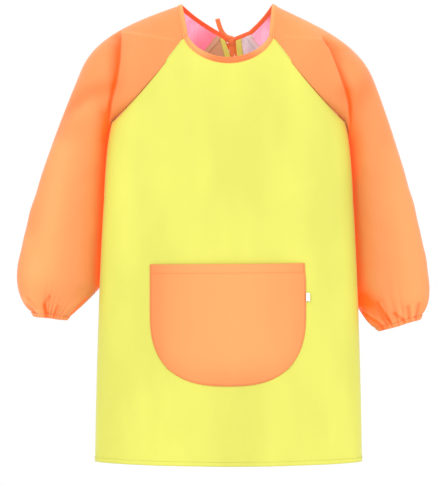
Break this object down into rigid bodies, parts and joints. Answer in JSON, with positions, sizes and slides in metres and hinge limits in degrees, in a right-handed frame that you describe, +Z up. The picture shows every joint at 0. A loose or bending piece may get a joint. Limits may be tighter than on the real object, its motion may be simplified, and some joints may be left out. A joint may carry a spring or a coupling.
{
  "type": "artist smock apron",
  "caption": "Long-sleeved art smock with raglan sleeves, elastic cuffs, a patch pocket, a bound neck and an open back tied at the neck.",
  "frame": {"origin": "middle of the neck opening, level with the back neckline, where a wearer's neck or a hook holds the smock", "axes": "+Z up, +X to the wearer's left, -Y out of the front"},
  "size_m": [0.5978, 0.1249, 0.664],
  "materials": {
    "yellow_cloth": "fine plain-woven polyester with a coated reverse, soft sheen",
    "orange_cloth": "fine plain-woven polyester with a coated reverse, soft sheen",
    "orange_tape": "folded binding tape, matt",
    "elastic": "woven elastic",
    "white_tab": "woven tape, plain"
  },
  "bodies": {
    "body": {"front_panel": "yellow_cloth", "back_panel_right": "yellow_cloth", "back_panel_left": "yellow_cloth", "shoulder_right": "orange_cloth", "shoulder_left": "orange_cloth", "pocket_panel": "orange_cloth", "pocket_tab": "white_tab", "neck_binding": "orange_tape", "tie_knot": "orange_tape", "tie_loop_right": "orange_tape", "tie_loop_left": "orange_tape", "tie_tail_right": "orange_tape", "tie_tail_left": "orange_tape"},
    "sleeve_right": {"sleeve_right": "orange_cloth", "cuff_casing_right": "orange_cloth", "cuff_elastic_right": "elastic"},
    "sleeve_left": {"sleeve_left": "orange_cloth", "cuff_casing_left": "orange_cloth", "cuff_elastic_left": "elastic"},
    "flap_right": {"back_flap_right": "yellow_cloth"},
    "flap_left": {"back_flap_left": "yellow_cloth"}
  },
  "joints": [
    {"name": "sleeve_right_lift", "type": "hinge", "parent": "body", "child": "sleeve_right", "pos_m": [-0.2146, 0, -0.0562], "axis": [0, 1, 0], "range_deg": [0, 50]},
    {"name": "sleeve_left_lift", "type": "hinge", "parent": "body", "child": "sleeve_left", "pos_m": [0.2106, 0, -0.0682], "axis": [0, -1, 0], "range_deg": [0, 50]},
    {"name": "flap_right_open", "type": "hinge", "parent": "body", "child": "flap_right", "pos_m": [-0.0165, 0.0493, -0.136], "axis": [0.2311, 0, 0.9729], "range_deg": [0, 60]},
    {"name": "flap_left_open", "type": "hinge", "parent": "body", "child": "flap_left", "pos_m": [0.0245, 0.0493, -0.136], "axis": [0.2156, 0, -0.9765], "range_deg": [0, 60]}
  ]
}
